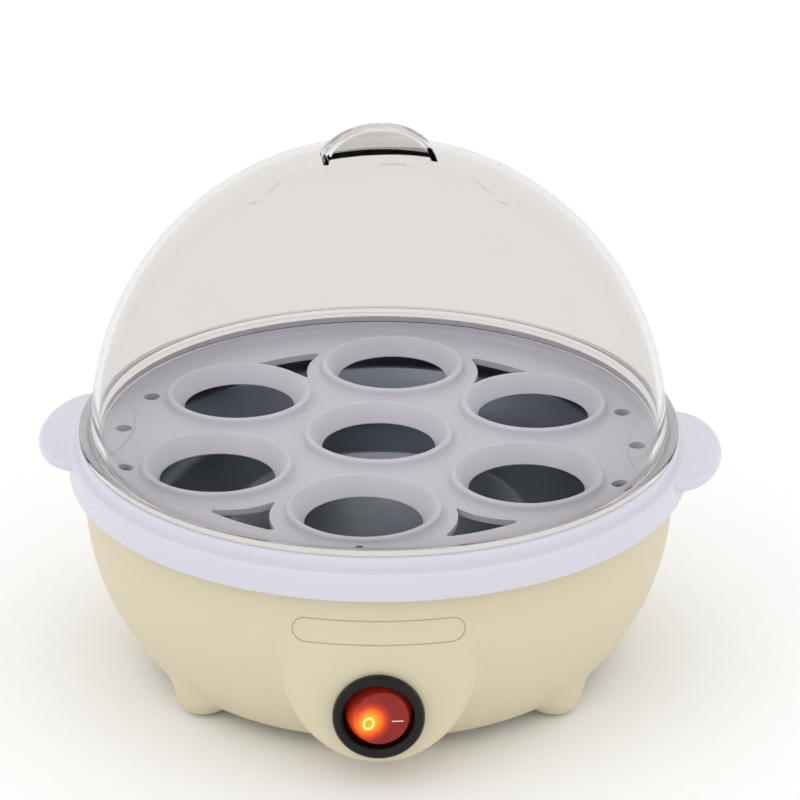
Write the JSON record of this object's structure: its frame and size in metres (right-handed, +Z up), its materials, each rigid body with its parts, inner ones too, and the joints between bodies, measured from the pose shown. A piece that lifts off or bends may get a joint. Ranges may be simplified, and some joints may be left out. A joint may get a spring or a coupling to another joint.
{
  "type": "egg cooker",
  "caption": "Electric egg cooker: a round cream bowl base with a rocker switch in front, a heated water pan, a lift-out egg tray with side tabs and a clear dome lid.",
  "frame": {"origin": "bottom centre of the whole object's box, level with the soles of the feet", "axes": "+Z up, the switch faces -Y, +X to the right when facing the switch"},
  "size_m": [0.1794, 0.1632, 0.1468],
  "materials": {
    "cream_plastic": "satin moulded polypropylene",
    "white_plastic": "satin moulded polypropylene, lilac white",
    "clear_plastic": "clear glossy polystyrene",
    "black_plastic": "satin black nylon",
    "red_plastic": "translucent red, polished",
    "silicone": "matt silicone",
    "nylon": "natural nylon",
    "fuse_sleeve": "woven glass fibre sleeve",
    "brown_insulation": "flexible wire insulation",
    "blue_insulation": "flexible wire insulation",
    "lamp_glass": "clear glass",
    "stainless_steel": "drawn stainless steel",
    "zinc_steel": "zinc plated steel",
    "tinned_brass": "tinned brass"
  },
  "bodies": {
    "base": {"base_bowl": "cream_plastic", "base_cover": "cream_plastic", "cover_screw_1": "zinc_steel", "cover_screw_2": "zinc_steel", "cover_screw_3": "zinc_steel", "cover_screw_4": "zinc_steel", "heating_plate": "stainless_steel", "plate_gasket": "silicone", "plate_bracket_1": "zinc_steel", "plate_bracket_2": "zinc_steel", "plate_bracket_3": "zinc_steel", "bracket_screw_1": "zinc_steel", "bracket_screw_2": "zinc_steel", "bracket_screw_3": "zinc_steel", "heating_element": "stainless_steel", "element_pin_left": "tinned_brass", "element_pin_right": "tinned_brass", "thermostat_body": "black_plastic", "thermostat_strap": "zinc_steel", "strap_screw_1": "zinc_steel", "strap_screw_2": "zinc_steel", "thermostat_tab_left": "tinned_brass", "thermostat_tab_right": "tinned_brass", "thermal_fuse": "fuse_sleeve", "fuse_clip": "zinc_steel", "switch_body": "black_plastic", "switch_lamp": "lamp_glass", "switch_terminal_left": "tinned_brass", "switch_terminal_middle": "tinned_brass", "switch_terminal_right": "tinned_brass", "cord_gland": "black_plastic", "terminal_block": "nylon", "clamp_screw_left": "zinc_steel", "clamp_screw_right": "zinc_steel", "wire_live": "brown_insulation", "wire_switched": "brown_insulation", "wire_fused": "brown_insulation", "wire_neutral": "blue_insulation", "wire_return": "blue_insulation"},
    "switch_rocker": {"rocker": "red_plastic"},
    "tray": {"egg_tray": "white_plastic"},
    "dome": {"lid": "clear_plastic"}
  },
  "joints": [
    {"name": "rocker_rock", "type": "hinge", "parent": "base", "child": "switch_rocker", "pos_m": [0, -0.0754, 0.0205], "axis": [0, 0, 1], "range_deg": [-22, 0]},
    {"name": "tray_lift", "type": "slide", "parent": "base", "child": "tray", "axis": [0, 0, 1], "range_m": [0, 0.08]},
    {"name": "lid_lift", "type": "slide", "parent": "tray", "child": "dome", "axis": [0, 0, 1], "range_m": [0, 0.12]}
  ]
}
